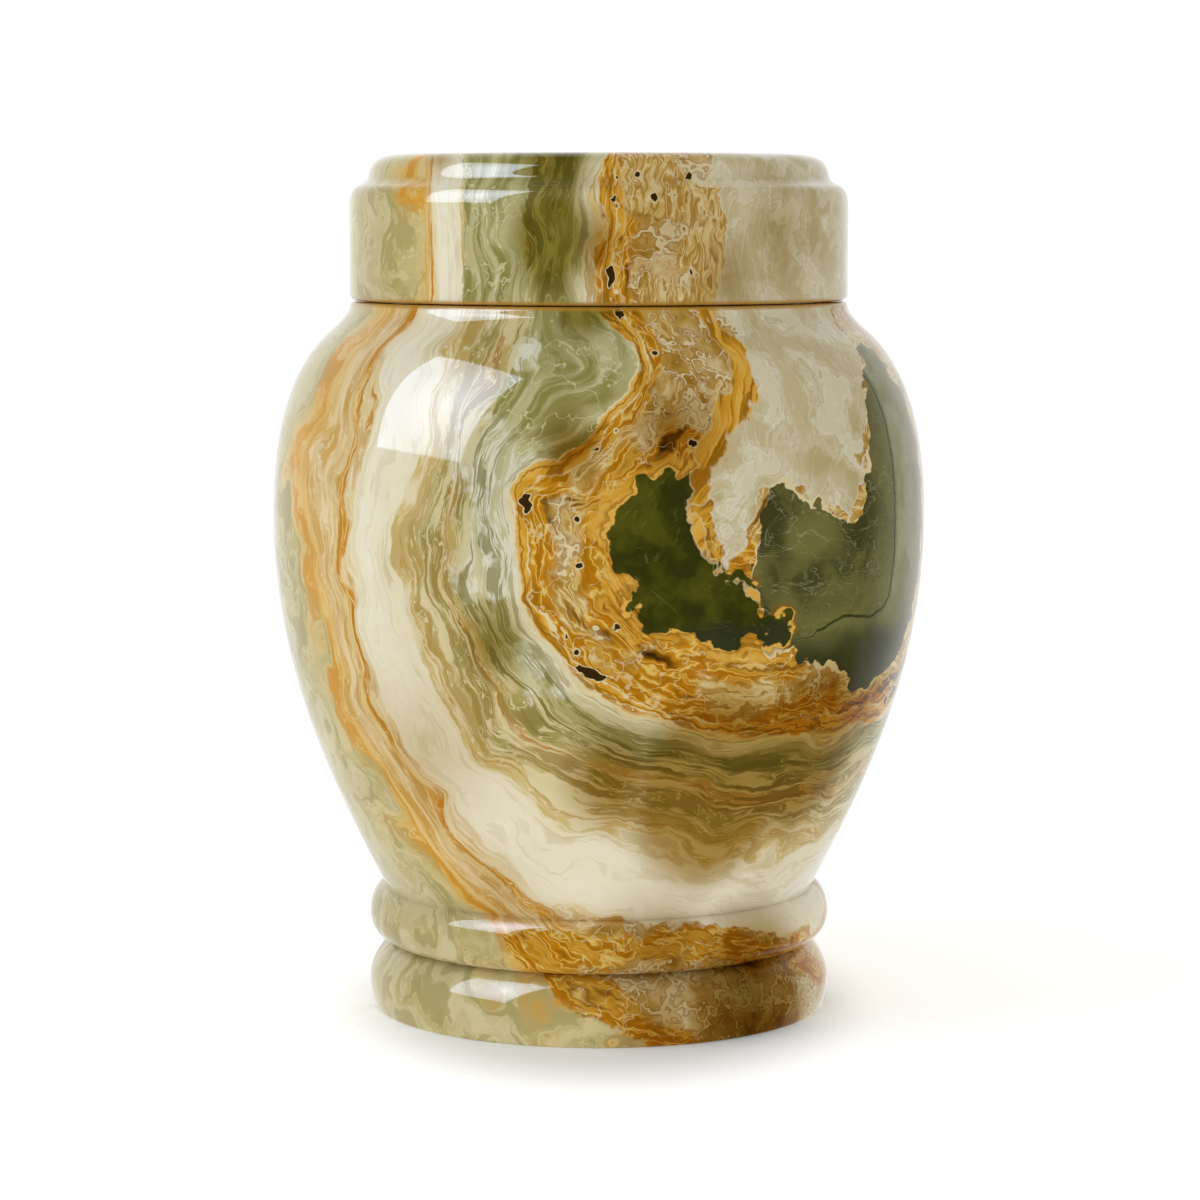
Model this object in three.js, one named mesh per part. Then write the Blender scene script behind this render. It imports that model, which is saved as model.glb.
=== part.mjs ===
// A cremation urn turned from banded onyx: a hollow, wide-shouldered vessel on a moulded foot, and a
// lift-off lid whose spigot drops into the vessel's mouth.
// Millimetres, +Z up. The origin is the centre of the flat underside.
import * as THREE from "three";

// Heights that stack up from the underside to the flat top of the lid.
const FOOT_HEIGHT = 23.2;
const BEAD_HEIGHT = 19.2;
const BELLY_RISE = 125.6;
const SHOULDER_RISE = 63.2;
const NECK_RISE = 9.3;
const SEAT_GAP = 0.3;
const BAND_HEIGHT = 38.1;
const LEDGE_RISE = 3.4;
const STEP_HEIGHT = 7.1;

// The outside of the vessel, from the underside up.
const FOOT_RADIUS = 78.6;
const FOOT_UNDERCUT = 1.4;
const FOOT_WIDEST_HEIGHT = 10;
const WAIST_RADIUS = 73.5;
const WAIST_FILLET = 1;
const BEAD_STAND = 5.1;
const BEAD_WIDEST_RISE = 8.7;
const GROOVE_DEPTH = 7.9;
const BELLY_RADIUS = 110.5;
const NECK_RADIUS = 84.1;
const COVE_WIDTH = 5.7;

// The outside of the lid, whose band is flush with the neck.
const BAND_ROLL_WIDTH = 2.8;
const BAND_ROLL_HEIGHT = 6.7;
const LEDGE_INSET = 6.5;
const TOP_INSET = 17;

// The hollow: its walls, its floor and the mouth.
const WALL = 14;
const FLOOR = 26;
const FLOOR_RADIUS = 34;
const RIM_WIDTH = 18;
const MOUTH_DEPTH = 8;

// The lid's spigot and the recess turned into its underside.
const SPIGOT_CLEARANCE = 1;
const SPIGOT_DEPTH = 12;
const SPIGOT_WALL = 10;
const LID_CROWN = 15;
const RECESS_ROUND = 8;

// Eased edges.
const UNDERSIDE_ROUND = 0.8;
const SEAM_ROUND = 2;
const MOUTH_ROUND = 1.5;
const SPIGOT_ROUND = 1.5;

// Which way each curve sets off, as radius gained for each millimetre of height.
const SLOPE = {
  upright: 0,
  footSide: 0.3,
  intoGroove: -1.8,
  belly: 0.52,
  shoulder: -1.21,
  ledge: -2.1,
  step: -0.22,
};

// How long a curve keeps the direction that it starts and ends in, as shares of its own height.
const PULL = {
  footSide: { start: 0.35, end: 0.35 },
  footRoll: { start: 0.3, end: 0.2 },
  belly: { start: 0.315, end: 0.385 },
  shoulder: { start: 0.42, end: 0.206 },
  cove: { start: 0.18, end: 0.23 },
  bandRoll: { start: 0.62, end: 0.1 },
  ledge: { start: 0.27, end: 0.5 },
  step: { start: 0.43, end: 0.85 },
  bowl: { start: 0.5, end: 0.4 },
  quarterCircle: 0.5523,
};

// Facets round the axis, and along each kind of curve.
const SIDES = 48;
const STEPS = { edge: 2, round: 3, small: 4, medium: 5, wall: 7, shoulder: 8, belly: 10 };

// Polished onyx in one overall colour.
function onyx(color) {
  return new THREE.MeshStandardMaterial({ color, roughness: 0.12, metalness: 0 });
}

// A point of a profile: its distance from the axis and its height above the underside.
const at = (radius, height) => new THREE.Vector2(radius, height);

// A step from a profile point: `rise` up, and sideways by `slope` for each millimetre of rise.
const along = (from, rise, slope) => at(from.x + slope * rise, from.y + rise);

// A curve that leaves `from` and reaches `to` at two slopes.
function flowing(from, startSlope, to, endSlope, pull) {
  const rise = to.y - from.y;
  return new THREE.CubicBezierCurve(
    from,
    along(from, pull.start * rise, startSlope),
    along(to, -pull.end * rise, endSlope),
    to,
  );
}

// A curve that leaves `from` at a slope and comes in level at `to`.
function levelling(from, startSlope, to, pull) {
  const rise = to.y - from.y;
  const run = to.x - from.x;
  return new THREE.CubicBezierCurve(
    from,
    along(from, pull.start * rise, startSlope),
    at(to.x - pull.end * run, to.y),
    to,
  );
}

// The points of a quarter round between two points, turned about the corner between them.
function quarterRound(from, corner, to, steps) {
  const leave = from.clone().lerp(corner, PULL.quarterCircle);
  const arrive = to.clone().lerp(corner, PULL.quarterCircle);
  return new THREE.CubicBezierCurve(from, leave, arrive, to).getPoints(steps);
}

// The points of a curve, moved off it by `distance` at right angles, towards the axis.
function insideOf(outer, distance, steps) {
  return Array.from({ length: steps + 1 }, (_, i) => {
    const way = outer.getTangent(i / steps);
    return outer.getPoint(i / steps).add(at(-way.y, way.x).multiplyScalar(distance));
  });
}

// One profile out of several runs of points, with no point twice in a row.
function joined(...runs) {
  return runs.flat().filter((point, i, all) => i === 0 || !point.equals(all[i - 1]));
}

// A closed turning: the profile runs from the axis round the outside and back to the axis.
function turned(name, profile, color) {
  const geometry = new THREE.LatheGeometry(profile, SIDES).rotateX(Math.PI / 2);
  const mesh = new THREE.Mesh(geometry, onyx(color));
  mesh.name = name;
  return mesh;
}

// The lines round the urn that its curves start and end on.
const groove = at(WAIST_RADIUS + BEAD_STAND - GROOVE_DEPTH, FOOT_HEIGHT);
const waist = at(WAIST_RADIUS, groove.y + BEAD_HEIGHT);
const widest = at(BELLY_RADIUS, waist.y + BELLY_RISE);
const neckFoot = at(NECK_RADIUS + COVE_WIDTH, widest.y + SHOULDER_RISE);
const rimHeight = neckFoot.y + NECK_RISE;
const seatHeight = rimHeight + SEAT_GAP;
const ledgeStart = at(NECK_RADIUS - BAND_ROLL_WIDTH, seatHeight + BAND_HEIGHT);
const ledgeEnd = at(NECK_RADIUS - LEDGE_INSET, ledgeStart.y + LEDGE_RISE);
const topEdge = at(NECK_RADIUS - TOP_INSET, ledgeEnd.y + STEP_HEIGHT);
const mouthRadius = NECK_RADIUS - RIM_WIDTH;
const spigotRadius = mouthRadius - SPIGOT_CLEARANCE;

// The belly swells from the waist to the widest line, and the shoulder draws in to the neck.
const belly = flowing(waist, SLOPE.belly, widest, SLOPE.upright, PULL.belly);
const shoulder = flowing(widest, SLOPE.upright, neckFoot, SLOPE.shoulder, PULL.shoulder);

// The foot: an upright side that bulges a little, rolled in to the groove under the bead.
function footProfile() {
  const undersideRadius = FOOT_RADIUS - FOOT_UNDERCUT;
  const sideFoot = at(undersideRadius, UNDERSIDE_ROUND);
  const footWidest = at(FOOT_RADIUS, FOOT_WIDEST_HEIGHT);
  const side = flowing(sideFoot, SLOPE.footSide, footWidest, SLOPE.upright, PULL.footSide);
  const roll = flowing(footWidest, SLOPE.upright, groove, SLOPE.intoGroove, PULL.footRoll);
  return joined(
    [at(0, 0), at(undersideRadius - UNDERSIDE_ROUND, 0)],
    side.getPoints(STEPS.small),
    roll.getPoints(STEPS.medium),
  );
}

// The bead: a half round from the groove up to a narrow upright fillet at the waist.
function beadProfile() {
  const beadWidest = at(WAIST_RADIUS + BEAD_STAND, groove.y + BEAD_WIDEST_RISE);
  const beadEnd = along(waist, -WAIST_FILLET, SLOPE.upright);
  return joined(
    quarterRound(groove, at(beadWidest.x, groove.y), beadWidest, STEPS.medium),
    quarterRound(beadWidest, at(beadWidest.x, beadEnd.y), beadEnd, STEPS.medium),
  );
}

// The neck: a small cove that turns the shoulder upright, and the rounded outer edge of the rim.
function neckProfile() {
  const coveEnd = at(NECK_RADIUS, rimHeight - SEAM_ROUND);
  const rimFlat = at(NECK_RADIUS - SEAM_ROUND, rimHeight);
  const cove = flowing(neckFoot, SLOPE.shoulder, coveEnd, SLOPE.upright, PULL.cove);
  return joined(
    cove.getPoints(STEPS.small),
    quarterRound(coveEnd, at(NECK_RADIUS, rimHeight), rimFlat, STEPS.round),
  );
}

// The hollow, from the mouth down: a straight mouth, then walls of even thickness, then a bowl.
function hollowProfile() {
  const mouthEdge = quarterRound(
    at(mouthRadius + MOUTH_ROUND, rimHeight),
    at(mouthRadius, rimHeight),
    at(mouthRadius, rimHeight - MOUTH_ROUND),
    STEPS.edge,
  );
  const bellyWall = insideOf(belly, WALL, STEPS.wall).reverse();
  const bowl = levelling(bellyWall.at(-1), SLOPE.belly, at(FLOOR_RADIUS, FLOOR), PULL.bowl);
  return joined(
    mouthEdge,
    [at(mouthRadius, rimHeight - MOUTH_DEPTH)],
    insideOf(shoulder, WALL, STEPS.wall).reverse(),
    bellyWall,
    bowl.getPoints(STEPS.medium),
    [at(0, FLOOR)],
  );
}

// The recess under the lid, open downwards, and the spigot round it that locates the lid.
function lidUnderside() {
  const recessRadius = spigotRadius - SPIGOT_WALL;
  const ceiling = topEdge.y - LID_CROWN;
  const spigotFoot = seatHeight - SPIGOT_DEPTH;
  const recessCorner = quarterRound(
    at(recessRadius - RECESS_ROUND, ceiling),
    at(recessRadius, ceiling),
    at(recessRadius, ceiling - RECESS_ROUND),
    STEPS.small,
  );
  const spigotEdge = quarterRound(
    at(spigotRadius - SPIGOT_ROUND, spigotFoot),
    at(spigotRadius, spigotFoot),
    at(spigotRadius, spigotFoot + SPIGOT_ROUND),
    STEPS.edge,
  );
  return joined(
    [at(0, ceiling)],
    recessCorner,
    [at(recessRadius, spigotFoot)],
    spigotEdge,
    [at(spigotRadius, seatHeight)],
  );
}

// The lid's outside: an upright band, a sloping ledge, and a step rolled over to the flat top.
function lidOutside() {
  const seamEdge = quarterRound(
    at(NECK_RADIUS - SEAM_ROUND, seatHeight),
    at(NECK_RADIUS, seatHeight),
    at(NECK_RADIUS, seatHeight + SEAM_ROUND),
    STEPS.round,
  );
  const rollStart = at(NECK_RADIUS, ledgeStart.y - BAND_ROLL_HEIGHT);
  const roll = flowing(rollStart, SLOPE.upright, ledgeStart, SLOPE.ledge, PULL.bandRoll);
  const ledge = flowing(ledgeStart, SLOPE.ledge, ledgeEnd, SLOPE.step, PULL.ledge);
  const step = levelling(ledgeEnd, SLOPE.step, topEdge, PULL.step);
  return joined(
    seamEdge,
    roll.getPoints(STEPS.small),
    ledge.getPoints(STEPS.small),
    step.getPoints(STEPS.medium),
    [at(0, topEdge.y)],
  );
}

const bodyProfile = joined(
  footProfile(),
  beadProfile(),
  belly.getPoints(STEPS.belly),
  shoulder.getPoints(STEPS.shoulder),
  neckProfile(),
  hollowProfile(),
);
const lidProfile = joined(lidUnderside(), lidOutside());

const urn = new THREE.Group();
urn.add(turned("urn_body", bodyProfile, "#b7a973"));
urn.add(turned("urn_lid", lidProfile, "#c4b687"));

export default urn;
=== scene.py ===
"""A cremation urn turned from banded onyx: a hollow vessel on a beaded foot, and its lift-off lid.

Lengths are in millimetres until a mesh is made, and the mesh is in metres. +Z is up and -Y is the front.
The figure of the stone is drawn on the unrolled side of the urn. A place there is (across, height):
across runs to the right from the front and is measured round the widest line of the vessel.
"""

import logging
import math
import re
from dataclasses import dataclass
from enum import Enum, IntEnum

import bmesh
import bpy
import numpy as np
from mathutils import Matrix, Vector


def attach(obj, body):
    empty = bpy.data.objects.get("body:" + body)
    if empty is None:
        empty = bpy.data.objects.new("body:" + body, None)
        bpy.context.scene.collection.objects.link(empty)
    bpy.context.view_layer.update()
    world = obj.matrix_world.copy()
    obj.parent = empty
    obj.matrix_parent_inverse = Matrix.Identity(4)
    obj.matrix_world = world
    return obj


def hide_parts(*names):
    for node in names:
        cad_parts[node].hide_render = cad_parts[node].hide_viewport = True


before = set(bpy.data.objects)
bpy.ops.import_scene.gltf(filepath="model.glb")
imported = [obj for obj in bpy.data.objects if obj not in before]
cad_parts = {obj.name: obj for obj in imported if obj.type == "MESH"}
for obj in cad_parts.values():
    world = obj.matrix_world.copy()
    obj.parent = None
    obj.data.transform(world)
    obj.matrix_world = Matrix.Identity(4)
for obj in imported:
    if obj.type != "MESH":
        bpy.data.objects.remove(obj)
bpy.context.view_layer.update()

log = logging.getLogger("urn")

MM = 0.001
BODY = "root"
SIDES = 512
WIDEST_RADIUS = 110.5
GIRTH = 2 * math.pi * WIDEST_RADIUS
SHARP_ANGLE = math.radians(42)
TOUCHING = 1e-6
LEAST_GAP = 1e-3
QUARTER_CIRCLE = 0.5523

Place = tuple[float, float]
Profile = list[Place]
Spot = tuple[float, float, float, float]
Signal = bpy.types.Node | bpy.types.NodeSocket
Inputs = tuple | dict[int | str, object]


class Steps(IntEnum):
    """How many steps each kind of stretch of a profile is drawn in."""

    EDGE = 3
    SPIGOT_EDGE = 4
    SEAM_EDGE = 6
    BOWL = 7
    SMALL = 8
    ROUND = 9
    MEDIUM = 12
    LID_STEP = 16
    LID_TOP = 24
    SHOULDER = 30
    BELLY = 44


class Reading(Enum):
    """What each point of the stone's surface knows about its place in the figure."""

    LAYERS = "stone_layers"
    PATCHES = "stone_patches"
    ACCENTS = "stone_accents"
    TINTS = "stone_tints"


def linear(shade: str) -> tuple[float, float, float, float]:
    """Turns a colour into the linear values that Blender's sockets take.

    Args:
        shade: An sRGB colour such as "#c8841a", or "#c8841a80" with how strongly it shows.

    Returns:
        Linear red, green and blue, and the strength, which is 1 where the colour gives none.
    """
    *parts, strength = [int(pair, 16) / 255 for pair in re.findall("..", f"{shade[1:]:f<8}")]
    toned = [c / 12.92 if c <= 0.04045 else ((c + 0.055) / 1.055) ** 2.4 for c in parts]
    return (*toned, strength)


def add_node(
    tree: bpy.types.NodeTree, kind: str, inputs: Inputs = (), **settings: object
) -> bpy.types.Node:
    """Adds a node with its settings and links.

    Args:
        tree: The nodes that it joins.
        kind: The node's type, without its ShaderNode prefix.
        inputs: What goes into it, in order or by name: a value, a socket, or a node for its first output.
        **settings: Properties of the node.

    Returns:
        The node.
    """
    node = tree.nodes.new("ShaderNode" + kind)
    for setting, value in settings.items():
        setattr(node, setting, value)
    for key, value in inputs.items() if isinstance(inputs, dict) else enumerate(inputs):
        source = value.outputs[0] if isinstance(value, bpy.types.Node) else value
        if isinstance(source, bpy.types.NodeSocket):
            tree.links.new(source, node.inputs[key])
        else:
            node.inputs[key].default_value = source
    return node


@dataclass(frozen=True)
class Bezier:
    """A curved stretch of a turned profile, in the plane of radius and height."""

    start: Place
    leave: Place
    arrive: Place
    end: Place

    def points(self, steps: int) -> Profile:
        """Walks the curve.

        Args:
            steps: How many equal steps of the curve's parameter to take.

        Returns:
            The points from start to end.
        """
        t = np.linspace(0, 1, steps + 1)[:, None]
        a, b, c, d = (np.array(p, float) for p in (self.start, self.leave, self.arrive, self.end))
        line = a * (1 - t) ** 3 + 3 * b * t * (1 - t) ** 2 + 3 * c * t**2 * (1 - t) + d * t**3
        return [tuple(p) for p in line.tolist()]

    def moved_in(self, distance: float, steps: int) -> Profile:
        """Walks the curve that lies a wall's thickness nearer to the axis.

        Args:
            distance: The thickness of the wall, at right angles to the curve.
            steps: How many steps to take.

        Returns:
            The points of the inner curve, from start to end.
        """
        t = np.linspace(0, 1, steps + 1)[:, None]
        a, b, c, d = (np.array(p, float) for p in (self.start, self.leave, self.arrive, self.end))
        way = (b - a) * (1 - t) ** 2 + 2 * (c - b) * t * (1 - t) + (d - c) * t**2
        way /= np.linalg.norm(way, axis=1, keepdims=True)
        line = np.array(self.points(steps)) + distance * np.stack([-way[:, 1], way[:, 0]], 1)
        return [tuple(p) for p in line.tolist()]


def along(start: Place, rise: float, slope: float) -> Place:
    """Steps up from a profile point.

    Args:
        start: The point to step from.
        rise: How far up, negative for down.
        slope: Radius gained for each millimetre of rise.

    Returns:
        The new point.
    """
    return (start[0] + slope * rise, start[1] + rise)


def flowing(start: Place, start_slope: float, end: Place, end_slope: float, pull: Place) -> Bezier:
    """Joins two points by a curve that keeps a slope at each end.

    Args:
        start: Where the curve starts.
        start_slope: The slope that it leaves with.
        end: Where it ends.
        end_slope: The slope that it arrives with.
        pull: How long each slope is kept, as shares of the rise.

    Returns:
        The curve.
    """
    rise = end[1] - start[1]
    return Bezier(
        start, along(start, pull[0] * rise, start_slope), along(end, -pull[1] * rise, end_slope), end
    )


def levelling(start: Place, start_slope: float, end: Place, pull: Place) -> Bezier:
    """Joins two points by a curve that comes in level at its end.

    Args:
        start: Where the curve starts.
        start_slope: The slope that it leaves with.
        end: Where it ends.
        pull: How long each direction is kept, as shares of the rise and of the run.

    Returns:
        The curve.
    """
    rise = end[1] - start[1]
    run = end[0] - start[0]
    return Bezier(
        start, along(start, pull[0] * rise, start_slope), (end[0] - pull[1] * run, end[1]), end
    )


def quarter_round(start: Place, corner: Place, end: Place, steps: int) -> Profile:
    """Rounds a corner of a profile by a quarter of a circle or ellipse.

    Args:
        start: Where the round starts.
        corner: The sharp corner that it takes off.
        end: Where the round ends.
        steps: How many steps to take.

    Returns:
        The points from start to end.
    """
    leave = tuple(a + QUARTER_CIRCLE * (c - a) for a, c in zip(start, corner))
    arrive = tuple(a + QUARTER_CIRCLE * (c - a) for a, c in zip(end, corner))
    return Bezier(start, leave, arrive, end).points(steps)


def straight(start: Place, end: Place, steps: int) -> Profile:
    """Walks a straight line of a profile.

    Args:
        start: Where the line starts.
        end: Where it ends.
        steps: How many steps to take.

    Returns:
        The points from start to end.
    """
    share = np.linspace(0, 1, steps + 1)[:, None]
    return [tuple(p) for p in (np.array(start) * (1 - share) + np.array(end) * share).tolist()]


def joined(*runs: Profile) -> Profile:
    """Joins runs of a profile.

    Args:
        *runs: The runs, in order.

    Returns:
        One run, with no point twice in a row.
    """
    line: Profile = []
    for point in (p for run in runs for p in run):
        if not line or math.dist(point, line[-1]) > TOUCHING:
            line.append(point)
    return line


def turned(name: str, profile: Profile) -> bpy.types.Object:
    """Turns a closed profile about the urn's axis.

    Args:
        name: The name of the piece.
        profile: Points from the axis round the outside and back to the axis.

    Returns:
        The new object, at the origin, in the scene.
    """
    rings = np.array(profile[1:-1])
    turn = np.arange(SIDES) * (2 * math.pi / SIDES)
    radius, height = rings[:, 0:1], rings[:, 1:2]
    ring_points = np.stack(
        [radius * np.sin(turn), -radius * np.cos(turn), np.broadcast_to(height, (len(rings), SIDES))], 2
    )
    ends = np.array([[0, 0, profile[0][1]], [0, 0, profile[-1][1]]])
    points = np.concatenate([ring_points.reshape(-1, 3), ends]) * MM
    here = np.arange(SIDES)
    following = np.roll(here, -1)
    faces: list[list[int]] = []
    for ring in range(len(rings) - 1):
        low, high = ring * SIDES, (ring + 1) * SIDES
        faces += np.stack([here + low, following + low, following + high, here + high], 1).tolist()
    first, last = len(rings) * SIDES, len(rings) * SIDES + 1
    top = (len(rings) - 1) * SIDES
    faces += [[first, int(b), int(a)] for a, b in zip(here, following)]
    faces += [[last, int(a) + top, int(b) + top] for a, b in zip(here, following)]
    mesh = bpy.data.meshes.new(name)
    mesh.from_pydata(points.tolist(), [], faces)
    mesh.validate()
    mesh.shade_smooth()
    mesh.set_sharp_from_angle(angle=SHARP_ANGLE)
    piece = bpy.data.objects.new(name, mesh)
    bpy.context.scene.collection.objects.link(piece)
    return piece


@dataclass(frozen=True)
class Course:
    """A line that the stone's figure follows, smooth through a few places on the unrolled side."""

    places: tuple[Place, ...]
    closed: bool = False
    steps: int = 7

    def line(self) -> np.ndarray:
        """Draws the course.

        Returns:
            The points of a smooth line through its places.
        """
        knots = np.array(self.places, float)
        if self.closed:
            knots = np.concatenate([knots[-1:], knots, knots[:2]])
        else:
            first = 2 * knots[0] - knots[1]
            last = 2 * knots[-1] - knots[-2]
            knots = np.concatenate([[first], knots, [last]])
        t = np.linspace(0, 1, self.steps, endpoint=False)[:, None]
        runs = []
        for a, b, c, d in zip(knots, knots[1:], knots[2:], knots[3:]):
            bend = (2 * a - 5 * b + 4 * c - d) * t**2 + (3 * b - a - 3 * c + d) * t**3
            runs.append(0.5 * (2 * b + (c - a) * t + bend))
        return np.concatenate([*runs, knots[-2:-1]])

    def measured(self, places: np.ndarray) -> np.ndarray:
        """Measures places from the course.

        Args:
            places: Places on the unrolled side, one a row.

        Returns:
            The distance, positive to the right of the course's direction.
        """
        line = self.line().astype(np.float32)
        across, height = places.T.astype(np.float32)
        nearest = np.full(len(places), np.inf, np.float32)
        side = np.ones(len(places), np.float32)
        for turn in (0.0,) if self.closed else (-GIRTH, 0.0, GIRTH):
            for (x, y), (to_x, to_y) in zip(line, line[1:]):
                way_x, way_y = to_x - x, to_y - y
                length = math.hypot(way_x, way_y)
                off_x, off_y = across - (x + turn), height - y
                share = np.clip((off_x * way_x + off_y * way_y) / length**2, 0, 1)
                off_x -= share * way_x
                off_y -= share * way_y
                distance = off_x * off_x + off_y * off_y
                closer = np.flatnonzero(distance < nearest)
                nearest[closer] = distance[closer]
                side[closer] = np.sign(way_y * off_x[closer] - way_x * off_y[closer])
        return np.sqrt(nearest) * side

    def depth(self, places: np.ndarray) -> np.ndarray:
        """Measures places from a closed course.

        Args:
            places: Places on the unrolled side, one a row.

        Returns:
            The distance from the course, negative inside it.
        """
        x, y = np.array(self.places, float).T
        clockwise = np.sign(np.sum((np.roll(x, -1) - x) * (np.roll(y, -1) + y)))
        return -clockwise * self.measured(places)


@dataclass(frozen=True)
class Figure:
    """The figure of the stone on one piece: courses between its layers, and patches on top of them.

    Each course is one layer further out than the one before. A spot is (across, height, radius,
    strength).
    """

    courses: tuple[Course, ...]
    rope: Course
    rope_reach: tuple[Place, ...]
    core: Course | None = None
    pool: Course | None = None
    cream: Course | None = None
    milk: Course | None = None
    foot: Course | None = None
    crack: Course | None = None
    frost: tuple[Spot, ...] = ()
    stain: tuple[Spot, ...] = ()
    shade: tuple[Spot, ...] = ()
    layer_width: float = 26.0
    far: float = 60.0

    def readings(self, places: np.ndarray) -> dict[Reading, np.ndarray]:
        """Reads the figure at some places.

        Args:
            places: Places on the unrolled side, one a row.

        Returns:
            Three numbers a place for each kind of reading.
        """
        gaps = [course.measured(places) for course in self.courses]
        layer = np.minimum(gaps[0], 0) / self.layer_width
        for inner, outer in zip(gaps, gaps[1:]):
            layer += np.clip(inner / np.maximum(inner - outer, LEAST_GAP), 0, 1)
        layer += np.maximum(gaps[-1], 0) / self.layer_width
        away = np.full(len(places), self.far)
        core, pool, cream, milk, foot = (
            patch.depth(places) if patch else away
            for patch in (self.core, self.pool, self.cream, self.milk, self.foot)
        )
        heights, reaches = zip(*self.rope_reach)
        rope = np.abs(self.rope.measured(places)) - np.interp(places[:, 1], heights, reaches)
        crack = self.crack.measured(places) if self.crack else away
        return {
            Reading.LAYERS: np.stack([layer, gaps[0], crack], 1),
            Reading.PATCHES: np.stack([core, pool, cream], 1),
            Reading.ACCENTS: np.stack([rope, milk, foot], 1),
            Reading.TINTS: np.stack([
                self.spotted(places, spots) for spots in (self.stain, self.shade, self.frost)
            ], 1),
        }

    def spotted(self, places: np.ndarray, spots: tuple[Spot, ...]) -> np.ndarray:
        """Reads a group of soft spots.

        Args:
            places: Places on the unrolled side, one a row.
            spots: The spots.

        Returns:
            A spot's strength in its middle, 0 at its edge and less outside it, down to -1.
        """
        reading = np.full(len(places), -1.0)
        for across, height, radius, strength in spots:
            reach = np.hypot(places[:, 0] - across, places[:, 1] - height)
            reading = np.maximum(reading, strength * (1 - reach / radius))
        return reading


VESSEL_FIGURE = Figure(
    courses=(
        Course((
            (4, 300), (3, 262), (1, 243), (11, 233), (16, 222), (6, 207), (-11, 194), (-27, 186),
            (-25, 168), (-21, 150), (-9, 131), (14, 115), (50, 107), (100, 105), (150, 110),
            (190, 130), (212, 168), (206, 205), (214, 245), (212, 300),
        )),
        Course((
            (-24, 300), (-26, 243), (-32, 215), (-39, 198), (-42, 178), (-41, 158), (-37, 140),
            (-27, 122), (-14, 108), (10, 99), (50, 92), (100, 89), (150, 92), (200, 112),
            (231, 160), (230, 205), (238, 245), (236, 300),
        )),
        Course((
            (-57, 300), (-57, 240), (-61, 200), (-67, 165), (-64, 138), (-52, 114), (-38, 97),
            (-16, 81), (20, 71), (80, 66), (140, 68), (205, 90), (252, 150), (255, 200),
            (263, 245), (262, 300),
        )),
        Course((
            (-82, 300), (-83, 243), (-89, 222), (-91, 195), (-90, 165), (-90, 145), (-88, 122),
            (-82, 104), (-70, 84), (-55, 64), (-32, 46), (10, 36), (80, 29), (150, 34),
            (225, 75), (278, 145), (283, 200), (290, 300),
        )),
        Course((
            (-106, 300), (-109, 243), (-113, 217), (-124, 203), (-130, 195), (-121, 180),
            (-115, 165), (-112, 148), (-108, 128), (-101, 100), (-90, 78), (-62, 46), (-28, 24),
            (4, 7), (60, -6), (130, -8), (220, 40), (292, 115), (316, 190), (322, 300),
        )),
        Course((
            (-214, 300), (-216, 240), (-230, 200), (-236, 160), (-222, 110), (-190, 60),
            (-150, 10), (-90, -60), (60, -90), (250, -60), (340, 40), (362, 140), (366, 300),
        )),
    ),
    rope=Course((
        (42, 262), (46, 238), (53, 226), (50, 214), (41, 204), (35, 193), (31, 180), (33, 167),
        (40, 157), (50, 152), (56, 144),
    )),
    rope_reach=((150, 0.6), (180, 1.0), (195, 3.0), (225, 3.8), (240, 3.0)),
    core=Course((
        (3, 170), (5, 179), (11, 181), (19, 188), (27, 184), (30, 175), (33, 165), (38, 158),
        (48, 155), (56, 146), (66, 140), (62, 134), (50, 134), (38, 136), (20, 139), (12, 142),
        (12, 150), (8, 163),
    ), closed=True),
    pool=Course((
        (58, 183), (67, 180), (80, 175), (92, 168), (101, 178), (104, 193), (112, 210), (121, 224),
        (136, 222), (148, 196), (147, 150), (134, 124), (118, 120), (108, 117), (98, 122),
        (90, 127), (82, 123), (74, 129), (66, 135), (56, 135), (52, 150), (54, 168),
    ), closed=True),
    cream=Course((
        (46, 262), (52, 236), (52, 225), (48, 212), (41, 203), (36, 193), (32, 180), (34, 168),
        (39, 157), (46, 160), (52, 168), (57, 181), (67, 180), (80, 175), (92, 168), (100, 178),
        (104, 193), (112, 210), (120, 226), (128, 262),
    ), closed=True),
    milk=Course((
        (-36, 262), (-28, 236), (-33, 215), (-38, 200), (-31, 186), (-12, 194), (4, 207),
        (14, 222), (10, 233), (4, 262),
    ), closed=True),
    foot=Course((
        (-44, 36), (-30, 23), (-14, 14), (8, 6), (30, -3), (60, -20), (140, -20), (172, -6),
        (158, 14), (124, 26), (84, 34), (50, 40), (0, 40),
    ), closed=True),
    crack=Course((
        (112, 222), (117, 208), (118, 180), (117, 152), (114, 143), (104, 140), (90, 141), (78, 137),
    )),
    frost=(
        (-27, 226, 6, 2.6), (-30, 182, 15, 1), (-37, 194, 12, 1), (-34, 161, 13, 1.3),
        (-16, 130, 10, 0.6),
    ),
    stain=(
        (26, 203, 24, 1.0), (-9, 197, 15, 1.2), (5, 92, 26, 1.2), (45, 86, 42, 2.4), (85, 98, 38, 2.0),
        (110, 108, 24, 1.0), (30, 4, 36, 0.9), (78, 2, 52, 2.2), (30, 28, 40, 0.8), (-66, 98, 50, 0.6),
        (-50, 50, 40, 0.5),
    ),
    shade=((-6, 247, 20, 2.2), (-35, 136, 19, 0.9), (76, 5, 40, 0.9)),
)

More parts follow.
